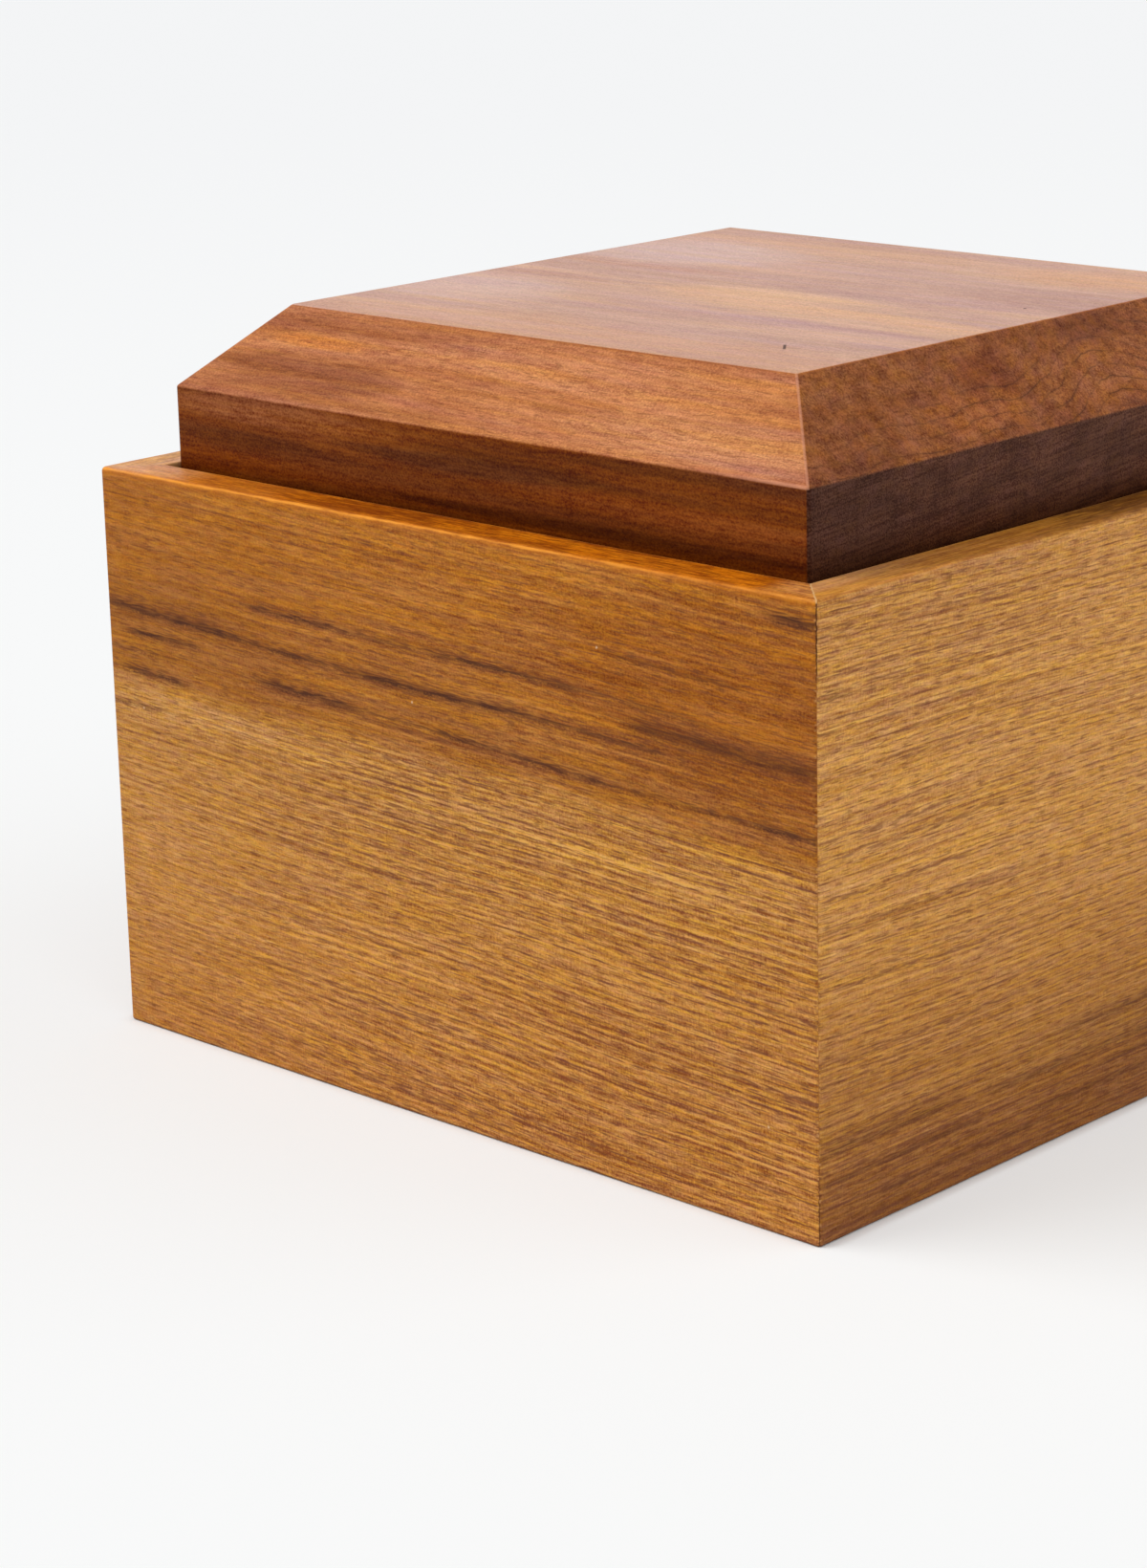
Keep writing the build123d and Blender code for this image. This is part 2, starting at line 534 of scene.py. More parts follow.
# Wall timber: one oiled board each, with its own bands of colour and its own streaks
hiddenBoard = {  # what the back and left boards share
    "contrast": 0.85,
    "leftContrast": 1.0,
    "topContrast": 1.0,
    "footContrast": 1.0,
    "longLines": 1.1,
    "leftLines": 1.0,
    "rows": 0.6,
    "hairs": 0.5,
    "tinted": 0.8,
    "arrisWearAndHighlight": (0.5, 0.5),
    "rimPaintedGlow": 0.2,
    "calmAbove": 66.0,
    "calm": 0.65,
    "rim": ((160, 96, 36), (212, 148, 80)),
    "rimPatchesAndPaintedLight": [],
    "patches": [],
    "nicks": [],
}
wallTimber = {
    "front": {
        "slope": 0.038,  # fall of the grain to the right
        "seed": 0.0,
        "contrast": 1.15,  # of the fine grain
        "leftContrast": 0.66,  # share of it left at the left end
        "topContrast": 1.0,  # and up by the rim
        "footContrast": 1.15,  # and down by the foot
        "longLines": 1.0,  # share of long lines in it
        "leftLines": 0.45,  # share of those left at the left end
        "rows": 1.0,  # share of evenly spaced lines
        "hairs": 0.75,  # strength of the thin dark hairlines
        "tinted": 1.0,  # drift between pinker and golder timber
        "arrisWearAndHighlight": (0.9, 0.4),  # worn arris with its painted highlight, at the left end and at the right
        # strength of the painted glow just under the rim's arris
        "rimPaintedGlow": 0.36,
        "calmAbove": 64.0,  # height above which the grain is quieter
        "calm": 0.95,
        "rim": ((153, 73, 1), (198, 106, 6)),  # dark and light of the rim's top
        "rimPatchesAndPaintedLight": [  # as the patches below, but from the left and in from the front; the pale ones at the rim's ends are painted reflection
            ((4, 4), 15, 14, (240, 178, 122), 0.85),
            ((24, 4), 20, 10, (212, 128, 46), 0.5),
            ((156, 3), 8, 10, (208, 148, 84), 0.5),
        ],
        "bands": [
            (0, (175, 115, 55)),
            (22, (183, 124, 60)),
            (50, (182, 125, 60)),
            (57, (179, 123, 61)),
            (63, (182, 125, 61)),
            (67, (160, 99, 39)),
            (84, (164, 100, 37)),
            (100, (169, 103, 35)),
        ],
        # start and end as (from the left, below the rim), thickness, strength; mm
        "streaks": [
            ((-2, 23.3), (34, 25.0), 1.3, 1.0),
            ((30, 24.8), (66, 26.5), 0.8, 0.85),
            ((62, 26.4), (104, 27.3), 1.1, 1.0),
            ((100, 27.2), (132, 28.4), 0.7, 0.7),
            ((36, 18.7), (63, 19.7), 0.7, 0.9),
            ((60, 19.6), (84, 20.2), 0.6, 0.6),
            ((78, 20.0), (114, 21.0), 0.8, 0.95),
            ((112, 21.0), (140, 22.0), 0.6, 0.5),
            ((116, 14.2), (146, 15.2), 0.6, 0.5),
            ((5, 27.9), (24, 28.2), 0.9, 1.0),
            ((-2, 31.0), (20, 31.6), 0.6, 0.5),
            ((38, 31.2), (64, 32.6), 1.1, 1.0),
            ((60, 32.4), (84, 33.2), 0.6, 0.45),
            ((78, 33.0), (97, 34.0), 0.8, 0.9),
            ((95, 34.0), (122, 35.4), 0.8, 0.9),
            ((120, 35.3), (150, 35.8), 0.6, 0.5),
            ((146, 35.6), (162, 36.3), 0.9, 0.9),
            ((3, 34.4), (20, 35.4), 0.9, 1.0),
            ((-2, 41.0), (17, 41.0), 0.5, 0.6),
            ((122, 24.8), (162, 26.0), 2.2, 0.75),
            ((150, 3.2), (162, 3.6), 1.4, 1.0),
        ],
        # centre as (from the left, below the rim), half length, half width, colour, strength
        "patches": [
            ((146, 18), 44, 16, (138, 72, 16), 0.5),
            ((14, 21.5), 30, 3.4, (128, 74, 34), 0.45),
            ((8, 2.5), 18, 4.0, (144, 82, 34), 0.4),
            ((20, 40.5), 26, 2.6, (200, 146, 86), 0.35),
            ((62, 43.5), 40, 1.8, (200, 144, 76), 0.25),
            ((104, 47.5), 40, 1.5, (204, 148, 74), 0.25),
            ((138, 74), 50, 20, (166, 106, 48), 0.3),
            ((16, 66), 40, 18, (190, 134, 76), 0.25),
        ],
        "nicks": [(8.3, 41.3), (75.3, 29.1), (116.3, 13.7), (150, 83)],
    },
    "right": {
        "slope": 0.015,
        "seed": 410.0,
        "contrast": 0.62,
        "leftContrast": 1.1,
        "topContrast": 1.25,
        "footContrast": 1.35,
        "longLines": 0.95,
        "leftLines": 1.0,
        "rows": 0.15,
        "hairs": 0.6,
        "tinted": 0.8,
        "arrisWearAndHighlight": (0.05, 0.05),
        "rimPaintedGlow": 0.03,
        "calmAbove": 200.0,
        "calm": 0.65,
        "rim": ((104, 60, 14), (162, 102, 32)),
        # the lighter patches are painted light, set against the lid's shadow across the rim
        "rimPatchesAndPaintedLight": [
            ((6, 1), 30, 6, (196, 128, 60), 0.7),
            ((16, 7), 34, 4.0, (204, 142, 84), 0.75),
            ((42, 5), 20, 8, (186, 118, 42), 0.75),
            ((92, 0.5), 52, 4, (118, 70, 28), 0.5),
        ],
        "bands": [
            (0, (133, 82, 41)),
            (8, (145, 92, 45)),
            (12, (150, 96, 46)),
            (15, (168, 113, 54)),
            (30, (180, 123, 61)),
            (52, (196, 139, 73)),
            (85, (195, 138, 73)),
            (100, (188, 131, 69)),
        ],
        "streaks": [
            ((2, 15.0), (6, 15.1), 0.7, 0.9),
            ((-2, 85.4), (34, 86.0), 1.4, 0.45),
            ((40, 87.0), (90, 87.8), 1.2, 0.4),
            ((60, 82.0), (110, 82.7), 1.0, 0.35),
            ((0, 90.2), (40, 90.8), 0.9, 0.45),
            ((70, 90.6), (125, 91.4), 0.8, 0.4),
            ((12, 95.2), (58, 95.9), 0.8, 0.4),
            ((52, 93.4), (110, 94.3), 0.9, 0.45),
        ],
        "patches": [
            ((4, 87), 24, 3.0, (176, 118, 58), 0.5),
            ((84, 83), 30, 3.0, (140, 90, 46), 0.4),
        ],
        "nicks": [],
    },
    "back": {
        **hiddenBoard,
        "slope": -0.02,
        "seed": 820.0,
        "bands": [
            (0, (186, 120, 56)),
            (30, (192, 129, 63)),
            (52, (184, 118, 54)),
            (70, (170, 102, 45)),
            (100, (178, 110, 50)),
        ],
        "streaks": [
            ((10, 30.0), (58, 28.6), 0.8, 0.8),
            ((70, 27.6), (120, 26.4), 0.7, 0.7),
            ((36, 41.0), (92, 39.8), 0.6, 0.6),
        ],
    },
    "left": {
        **hiddenBoard,
        "slope": 0.025,
        "seed": 1230.0,
        # a pale end of the rim by the front corner: painted reflection
        "rimPatchesAndPaintedLight": [((156, 4), 15, 14, (240, 178, 122), 0.85)],
        "bands": [
            (0, (178, 110, 50)),
            (26, (188, 122, 58)),
            (60, (192, 130, 64)),
            (78, (180, 112, 50)),
            (100, (172, 102, 44)),
        ],
        "streaks": [
            ((0, 20.0), (46, 21.4), 0.7, 0.7),
            ((88, 17.0), (150, 18.8), 0.8, 0.75),
        ],
    },
}
wallFinish = {
    "darkGrain": (0.51, 0.34, 0.40, 1.0),  # the board's colour is multiplied by these pairs
    "lightGrain": (1.49, 1.66, 1.60, 1.0),
    "pinker": (0.98, 1.0, 1.38, 1.0),
    "golder": (1.02, 1.0, 0.62, 1.0),
    "redder": (1.0, 0.94, 1.0, 1.0),
    "greener": (1.0, 1.06, 1.0, 1.0),
    "vessel": (104, 58, 36),
    "hair": (108, 60, 44),
    "streak": (70, 38, 27),
    "halo": (112, 60, 28),
    # the rim's outer arris, worn and with a painted highlight where it faces up
    "arris": (244, 158, 50),
    # painted glow just under the rim's arris
    "arrisPaintedGlow": (198, 112, 28),
    "nick": (226, 196, 160),
    "crack": (66, 36, 22),  # where a mitre has opened, near the rim and at the foot
    "seam": (146, 84, 40),
    "cornerRub": (224, 168, 104),
    "openMitre": (232, 186, 128),  # pale line across the rim
    "inside": (201, 150, 92),
    "foot": (84, 48, 26),  # painted shade along the bottom arris
    "wander": ((70.0, 26.0, 34.0), 1.0),  # the grain's slow wander, sized as the layers below
    "wanderBy": 2.4,  # mm
    "rowPitch": 1.44,
    "rowDrift": 8.0,
    "bandBreak": 5.0,  # mm by which drifts and lines break a band's border
    "wobble": 1.6,  # how ragged the patches are
    "middleTone": 0.56,
    "fleckTint": 2.4,
    "lowTint": 1.6,
    "highTint": 3.2,
    "roseTint": 3.4,
    "hairGaps": 0.1,  # share of a hairline left where it breaks
    "hairsAbove": 0.5,  # and above the calm height
    "straggle": -2.0,
    "streakCore": (0.05, 0.8),  # shares of its thickness over which the core ends
    "streakHalo": 2.6,
    "ragged": {"strokes": 1.1, "vessels": 1.0, "wool": 0.8},  # mm by which each layer moves a streak
    "faintRise": 0.09,  # more faint streaks just above the calm height
    "faintShare": 0.6,
    "faintBelow": 0.4,
    "crowding": 0.22,  # how vessels crowd along a streak
    "haloShare": 0.36,
    "vesselShare": 0.5,
    "coreShare": (0.9, 0.48),
    "rimFigure": 0.8,  # share of the fine grain that shows on the rim
    "shares": {"rim": 0.9, "nick": 0.6, "cornerRub": 0.5, "openFoot": 0.8, "foot": 0.6, "inside": 0.35},
    "seamShare": (0.4, 0.9),  # where it is closed and where it has opened
    "seamOpening": -0.06,
    # mm by which wear moves the edge of each mark, the painted arris highlight and the painted foot shade
    # among them
    "rubAndSheen": {"nick": 0.4, "arris": 0.8, "openTop": 12.0, "openFoot": 14.0, "seam": 0.4, "foot": 0.5},
    "gloss": {"strokes": -0.16, "dashes": 0.12},  # how each layer shifts the roughness
    "relief": {"strokes": 0.6, "lines": 0.5, "dashes": -0.6},
    "specular": 0.06,
    "roughness": 0.52,
    "bump": {"strength": 0.3, "distance": 0.1},
    "layers": {  # mm along the grain, across it and into the board, then detail
        "lines": ((80.0, 0.62, 1.6), 0.5),
        "strokes": ((4.2, 0.54, 0.6), 1.0),
        "ticks": ((0.28, 1.1, 0.8), 0.0),
        "wool": ((0.5, 0.3, 0.5), 1.0),
        "vessels": ((2.6, 0.28, 0.3), 0.0),
        "hairRows": ((120.0, 0.45, 0.6), 0.0),
        "hairBreaks": ((3.4, 0.5, 0.5), 1.0),
        "ribbons": ((60.0, 1.2, 3.0), 1.0),
        "patches": ((26.0, 4.5, 10.0), 2.0),
        "tints": ((22.0, 2.6, 6.0), 1.0),
        "flecks": ((3.5, 0.45, 0.5), 1.0),
        "rosy": ((2.4, 0.5, 0.6), 1.0),
        "drift": ((80.0, 10.0, 24.0), 1.0),
        "faint": ((50.0, 0.9, 2.0), 1.0),
        "broken": ((9.0, 0.9, 1.0), 1.0),
        "rubbed": ((5.0, 0.8, 0.8), 2.0),
    },
    "tones": {  # weight of each layer below the calm height and above it
        "lines": (1.0, 0.45),
        "rows": (0.26, 0.1),
        "ribbons": (0.0, 0.85),
        "strokes": (1.25, 1.3),
        "ticks": (0.45, 0.4),
        "wool": (0.9, 1.2),
        "patches": (0.45, 0.75),
    },
    "ranges": {  # where each thing begins and ends, in mm
        "leftLines": (0.0, 90.0),
        "leftContrast": (0.0, 110.0),
        "topContrast": (45.0, 90.0),
        "footContrast": (6.0, 20.0),
        "calm": (-2.0, 2.0),  # about the calm height
        "faintZone": (12.0, 22.0),  # above it
        "face": (0.4, 1.4),  # in from the face
        "streakStart": (-3.0, 5.0),
        "streakEnd": (-6.0, 3.0),
        "rimEdge": (-0.1, 0.45),
        "rimDepth": (0.4, 0.9),
        "rimPaintedGlow": (0.3, 1.8),
        "arris": (0.15, 0.6),
        "arrisWearAndHighlight": (90.0, 150.0),
        "nick": (0.25, 0.5),
        "cornerRub": (0.1, 0.8),
        "openTop": (8.0, 16.0),
        "openFoot": (5.0, 18.0),
        "seam": (0.0, 0.18),
        "foot": (0.1, 0.6),
        "inside": (-0.6, -0.1),  # about the inner face
        # levels of a layer between which a mark comes in
        "hairRows": (0.51, 0.66),
        "hairBreaks": (0.38, 0.6),
        "faint": (0.56, 0.76),
        "vessels": (0.6, 0.74),
        "broken": (0.38, 0.62),
        "mottle": (0.38, 0.62),
        "rubbed": (0.04, 0.2),
    },
}


patchEdge = (0.1, 1.5)  # over which a patch dies out, as the square of its reach


def softPatches(bench, shade, along, across, wobble, patches, mask):
    # soft blurs of another colour, drawn out along the grain
    for (x, y), long, wide, colour, strength in patches:
        offAlong = bench.reckon("DIVIDE", bench.minus(along, x), long)
        offAcross = bench.reckon("DIVIDE", bench.minus(across, y), wide)
        reach = bench.scaleAdd(offAlong, offAlong, wobble)
        reach = bench.scaleAdd(offAcross, offAcross, reach)
        share = bench.fade(reach, *patchEdge, strength, 0.0)
        shade = bench.blend(bench.times(share, mask), shade, colour)
    return shade


def wallPlaces(side):
    # a point's place on its board in mm, and the grain's layers there
    bench = Bench(f"{side}WallTimber", wallFinish)
    board = wallTimber[side]
    point = bench.places((boxHalf, boxHalf, 0.0), -math.radians(sideTurns[side]))[0]
    at = SimpleNamespace(bench=bench, board=board)
    at.along, at.deep, at.high = bench.split(point)
    at.below = bench.minus(rimHeight, at.high)

    # the grain falls to one end and wanders a little
    shifted = bench.reckon("ADD", at.along, board["seed"])
    at.wander = bench.swing(bench.speckle(bench.combine(shifted, at.deep, at.high), *wallFinish["wander"]))
    bent = bench.scaleAdd(at.along, board["slope"], at.high)
    bent = bench.scaleAdd(at.wander, wallFinish["wanderBy"], bent)
    grain = bench.combine(shifted, bent, at.deep)
    layer = {name: bench.speckle(grain, *sizes) for name, sizes in wallFinish["layers"].items()}
    drifting = bench.times(layer["drift"], wallFinish["rowDrift"])
    rows = bench.scaleAdd(bent, 2.0 * math.pi / wallFinish["rowPitch"], drifting)
    layer["rows"] = bench.scaleAdd(bench.reckon("SINE", rows), 0.5, 0.5)
    at.layer = layer

    at.level = bent
    for name in ("drift", "lines"):
        at.level = bench.scaleAdd(bench.swing(layer[name]), wallFinish["bandBreak"], at.level)
    at.above = bench.over(at.level, "calm", start=board["calmAbove"])
    at.wobble = bench.times(bench.swing(layer["ribbons"]), wallFinish["wobble"])
    at.paling = bench.over(at.along, "leftLines", board["leftLines"], 1.0)
    at.onFace = bench.over(at.deep, "face", 1.0, 0.0)
    return at


def wallFigure(at):
    # fine grain: long lines and short strokes below, softer ribbons above
    bench, board, layer = at.bench, at.board, at.layer
    lined = {"lines": (board["longLines"], 1.0), "rows": (board["rows"], board["rows"])}
    tone = 0.0
    for name, (low, up) in wallFinish["tones"].items():
        lowShare, upShare = lined.get(name, (1.0, 1.0))
        low *= lowShare * board["contrast"]
        up *= upShare * board["calm"]
        weight = bench.times(bench.fade(at.above, 0.0, 1.0, low, up), at.paling if name in lined else 1.0)
        tone = bench.scaleAdd(bench.swing(layer[name]), weight, tone)
    keen = bench.over(at.along, "leftContrast", board["leftContrast"], 1.0)
    keen = bench.times(keen, bench.over(at.high, "topContrast", 1.0, board["topContrast"]))
    keen = bench.times(keen, bench.over(at.high, "footContrast", board["footContrast"], 1.0))
    tone = bench.scaleAdd(tone, keen, wallFinish["middleTone"])

    # its hue drifts too: broad drifts and fine flecks of gold and pink, and a little red and green
    flecks, lowTint, highTint, rose = [
        wallFinish[name] * board["tinted"] for name in ("fleckTint", "lowTint", "highTint", "roseTint")
    ]
    tint = bench.times(bench.swing(layer["flecks"]), flecks)
    broad = bench.fade(at.above, 0.0, 1.0, lowTint, highTint)
    tint = bench.scaleAdd(bench.swing(layer["tints"]), broad, tint)
    red = bench.times(bench.swing(layer["rosy"]), rose)
    figure = bench.blend(tone, wallFinish["darkGrain"], wallFinish["lightGrain"])
    for share, first, second in ((tint, "golder", "pinker"), (red, "greener", "redder")):
        hue = bench.blend(bench.reckon("ADD", share, 0.5), wallFinish[first], wallFinish[second])
        figure = bench.blend(1.0, figure, hue, "MULTIPLY")
    return figure


def wallHairlines(at, shade):
    bench, layer = at.bench, at.layer
    hairs = bench.over(layer["hairRows"], "hairRows", 0.0, at.board["hairs"])
    gaps = bench.over(layer["hairBreaks"], "hairBreaks", wallFinish["hairGaps"], 1.0)
    hairs = bench.times(hairs, gaps)
    hairs = bench.times(hairs, bench.fade(at.above, 0.0, 1.0, 1.0, wallFinish["hairsAbove"]))
    return bench.blend(bench.times(hairs, at.paling), shade, wallFinish["hair"])


def wallStreaks(at, shade):
    # a thin ragged core with a soft brown halo, and vessels crowding along it
    bench, board, layer = at.bench, at.board, at.layer
    ragged = bench.scaleAdd(at.wander, wallFinish["straggle"], at.below)
    for name, reach in wallFinish["ragged"].items():
        ragged = bench.scaleAdd(bench.swing(layer[name]), reach, ragged)
    core = 0.0
    halo = 0.0
    for start, end, thick, strength in board["streaks"]:
        fall = (end[1] - start[1]) / (end[0] - start[0])
        line = bench.scaleAdd(at.along, fall, start[1] - fall * start[0])
        off = bench.size(bench.minus(ragged, line))
        here = bench.over(at.along, "streakStart", 0.0, strength, start[0])
        here = bench.times(here, bench.over(at.along, "streakEnd", 1.0, 0.0, end[0]))
        nearCore, farCore = [share * thick for share in wallFinish["streakCore"]]
        thin = bench.times(here, bench.fade(off, nearCore, farCore, 1.0, 0.0))
        wide = bench.times(here, bench.fade(off, 0.0, wallFinish["streakHalo"] * thick, 1.0, 0.0))
        core = bench.larger(core, thin)
        halo = bench.larger(halo, wide)
    core = bench.times(core, at.onFace)
    halo = bench.times(halo, at.onFace)

    # faint streaks of the same kind, most of them just above the calm height
    rise = bench.over(at.level, "faintZone", wallFinish["faintRise"], 0.0, board["calmAbove"])
    faint = bench.reckon("ADD", layer["faint"], bench.times(at.above, rise))
    faint = bench.over(faint, "faint", 0.0, wallFinish["faintShare"])
    faint = bench.times(faint, bench.fade(at.above, 0.0, 1.0, wallFinish["faintBelow"], 1.0))
    crowd = bench.larger(halo, faint)
    dashes = bench.over(bench.scaleAdd(crowd, wallFinish["crowding"], layer["vessels"]), "vessels")
    shade = bench.blend(bench.times(crowd, wallFinish["haloShare"]), shade, wallFinish["halo"])
    shade = bench.blend(bench.times(dashes, wallFinish["vesselShare"]), shade, wallFinish["vessel"])
    broken = bench.over(layer["broken"], "broken", *wallFinish["coreShare"])
    return bench.blend(bench.times(core, broken), shade, wallFinish["streak"]), dashes


def wallRim(at, shade, figure):
    # the rim's top has its own mottled tone, with painted reflection and painted light in its patches
    bench, board, layer = at.bench, at.board, at.layer
    mottle = bench.scaleAdd(layer["strokes"], 0.5, bench.times(layer["patches"], 0.5))
    rimTone = bench.blend(bench.over(mottle, "mottle"), *board["rim"])
    rimTone = softPatches(bench, rimTone, at.along, at.deep, at.wobble, board["rimPatchesAndPaintedLight"], 1.0)
    rimTone = bench.blend(wallFinish["rimFigure"], rimTone, figure, "MULTIPLY")
    onRim = bench.over(bench.minus(at.below, at.deep), "rimEdge", wallFinish["shares"]["rim"], 0.0)
    onRim = bench.times(onRim, bench.over(at.below, "rimDepth", 1.0, 0.0))
    return bench.blend(onRim, shade, rimTone), onRim


def wallNicks(at, shade):
    bench = at.bench
    share = wallFinish["shares"]["nick"]
    for x, y in at.board["nicks"]:
        off = bench.add("ShaderNodeVectorMath", operation="DISTANCE")
        bench.join(off.inputs[0], bench.combine(at.along, at.below, 0.0))
        off.inputs[1].default_value = (x, y, 0.0)
        ragged = bench.scaleAdd(at.layer["wool"], wallFinish["rubAndSheen"]["nick"], off.outputs["Value"])
        shade = bench.blend(bench.over(ragged, "nick", share, 0.0), shade, wallFinish["nick"])
    return shade


def wallWearAndPaintedLight(at, shade, onRim):
    # a worn arris round the rim with a painted highlight on it and a painted glow under it, a seam down each
    # mitre that opens at its ends, painted shade along the bottom arris, paler wood inside
    bench, board = at.bench, at.board
    shares = wallFinish["shares"]
    rubbed = bench.swing(at.layer["rubbed"])

    def worn(value, name):
        return bench.scaleAdd(rubbed, wallFinish["rubAndSheen"][name], value)

    # painted glow under the rim's arris, then the arris, worn and with a painted highlight
    edge = bench.larger(at.deep, at.below)
    glow = bench.over(edge, "rimPaintedGlow", board["rimPaintedGlow"], 0.0)
    shade = bench.blend(glow, shade, wallFinish["arrisPaintedGlow"])
    arris = bench.over(worn(edge, "arris"), "arris", 1.0, 0.0)
    arris = bench.times(arris, bench.over(at.along, "arrisWearAndHighlight", *board["arrisWearAndHighlight"]))
    shade = bench.blend(arris, shade, wallFinish["arris"])

    toEnd = bench.reckon("MINIMUM", at.along, bench.minus(2 * boxHalf, at.along))
    toMitre = bench.minus(toEnd, at.deep)
    rubAndSheen = bench.over(toMitre, "cornerRub", 1.0, 0.0)
    rubAndSheen = bench.times(rubAndSheen, bench.over(rubbed, "rubbed", 0.0, shares["cornerRub"]))
    shade = bench.blend(bench.times(rubAndSheen, at.onFace), shade, wallFinish["cornerRub"])
    opened = bench.over(worn(at.below, "openTop"), "openTop", 1.0, 0.0)
    openFoot = bench.over(worn(at.high, "openFoot"), "openFoot", shares["openFoot"], 0.0)
    opened = bench.larger(opened, openFoot)
    seam = bench.scaleAdd(opened, wallFinish["seamOpening"], worn(toMitre, "seam"))
    seam = bench.minus(1.0, bench.over(seam, "seam"))
    seam = bench.times(seam, bench.fade(opened, 0.0, 1.0, *wallFinish["seamShare"]))
    seamTone = bench.blend(opened, wallFinish["seam"], wallFinish["crack"])
    shade = bench.blend(seam, shade, bench.blend(onRim, seamTone, wallFinish["openMitre"]))
    # painted shade along the bottom arris
    foot = bench.over(worn(at.high, "foot"), "foot", shares["foot"], 0.0)
    shade = bench.blend(foot, shade, wallFinish["foot"])
    inside = bench.over(at.deep, "inside", 0.0, shares["inside"], wallThick)
    return bench.blend(inside, shade, wallFinish["inside"])


def wallMaterial(side):
    at = wallPlaces(side)
    bench, board, layer = at.bench, at.board, at.layer
    shade = bench.bands(at.level, board["bands"])
    shade = softPatches(bench, shade, at.along, at.below, at.wobble, board["patches"], 1.0)
    figure = wallFigure(at)
    shade = bench.blend(1.0, shade, figure, "MULTIPLY")
    shade = wallHairlines(at, shade)
    shade, dashes = wallStreaks(at, shade)
    shade, onRim = wallRim(at, shade, figure)
    shade = wallNicks(at, shade)
    shade = wallWearAndPaintedLight(at, shade, onRim)
    gloss, relief = wallFinish["gloss"], wallFinish["relief"]
    roughness = bench.scaleAdd(layer["strokes"], gloss["strokes"], wallFinish["roughness"])
    roughness = bench.scaleAdd(dashes, gloss["dashes"], roughness)
    height = bench.scaleAdd(layer["strokes"], relief["strokes"], bench.times(layer["lines"], relief["lines"]))
    height = bench.scaleAdd(dashes, relief["dashes"], height)
    return bench.finish(shade, roughness, height)


for sideName in sideTurns:
    wallBoard(sideName, wallMaterial(sideName))
print("walls done")


# Lid: one solid board, bevelled all round, with every arris eased
lidCut = {
    "shoulder": 113.6,  # height of the break between side and bevel
    "bevelRun": 14.3,
    "ease": 0.6,
    "hipEase": 0.7,
    "handWork": 0.3,
    "wander": ((2.3, 8.0), (6.1, 8.0), (9.7, 8.0)),  # seed and pitch, from the lowest arris up
    "pitch": 5.0,
}
lidLow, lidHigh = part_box("lid_board")
lidHalf = lidHigh.x / mm
lidBottom = lidLow.z / mm
lidTop = lidHigh.z / mm - shy


def easedCorner(before, corner, after, radius, steps):
    # the arc that eases one corner of an outline
    toBefore = (Vector(before) - Vector(corner)).normalized()
    toAfter = (Vector(after) - Vector(corner)).normalized()
    half = toBefore.angle(toAfter) / 2
    reach = radius / math.tan(half)
    middle = Vector(corner) + (toBefore + toAfter).normalized() * (radius / math.sin(half))
    first = Vector(corner) + toBefore * reach - middle
    last = Vector(corner) + toAfter * reach - middle
    turn = first.angle_signed(last)
    points = []
    for i in range(steps + 1):
        spoke = Matrix.Rotation(-turn * i / steps, 2) @ first
        points.append(tuple(middle + spoke))
    return points


def lidSection(turn, share):
    wellIn = lidHalf / 2  # any depth past the bevel
    corners = [
        (wellIn, lidBottom),
        (0.0, lidBottom),
        (0.0, lidCut["shoulder"]),
        (lidCut["bevelRun"], lidTop),
        (wellIn, lidTop),
    ]
    outline = []
    for i, wander in enumerate(lidCut["wander"]):
        radius = lidCut["ease"] * (1.0 + lidCut["handWork"] * waver(turn, share, *wander))
        eased = easedCorner(*corners[i : i + 3], radius, 4)
        if outline:
            outline += between(outline[-1], eased[0], 5)
        outline += eased
    section = []
    for depth, height in outline:
        start = 0.0 if height < lidCut["shoulder"] - 1.0 else lidCut["bevelRun"]
        inFlat = max(depth - start, 0.0)
        section.append((depth, height, max(lidCut["hipEase"] - inFlat, 0.0)))
    return section


def lidBoard(material):
    bm = bmesh.new()
    shares = stationsAlong(lidHalf, lidCut["pitch"])
    rings = {}
    for side, turn in sideTurns.items():
        columns = []
        for share in shares:
            section = lidSection(turn, share)
            columns.append([bm.verts.new(onSide(turn, lidHalf, share, *point)) for point in section])
        for first, second in zip(columns, columns[1:]):
            for j in range(len(first) - 1):
                bm.faces.new((first[j], first[j + 1], second[j + 1], second[j]))
        rings[side] = columns
    # the flat top and the underside, as grids inside the swept sides
    for row in (0, -1):
        height = rings["front"][0][row].co.z
        reach = abs(rings["front"][len(shares) // 2][row].co.y)
        last = len(shares) - 1
        grid = {}
        for i in range(len(shares)):
            grid[(i, 0)] = rings["front"][i][row]
            grid[(i, last)] = rings["back"][last - i][row]
            grid[(last, i)] = rings["right"][i][row]
            grid[(0, i)] = rings["left"][last - i][row]
        for i in range(1, last):
            for j in range(1, last):
                grid[(i, j)] = bm.verts.new((-shares[i] * reach, -shares[j] * reach, height))
        for i in range(last):
            for j in range(last):
                bm.faces.new([grid[(i, j)], grid[(i + 1, j)], grid[(i + 1, j + 1)], grid[(i, j + 1)]])
    bmesh.ops.remove_doubles(bm, verts=bm.verts, dist=weldReach)
    return finishMesh("lid_slab", bm, "lid", material, ["lid_board"])


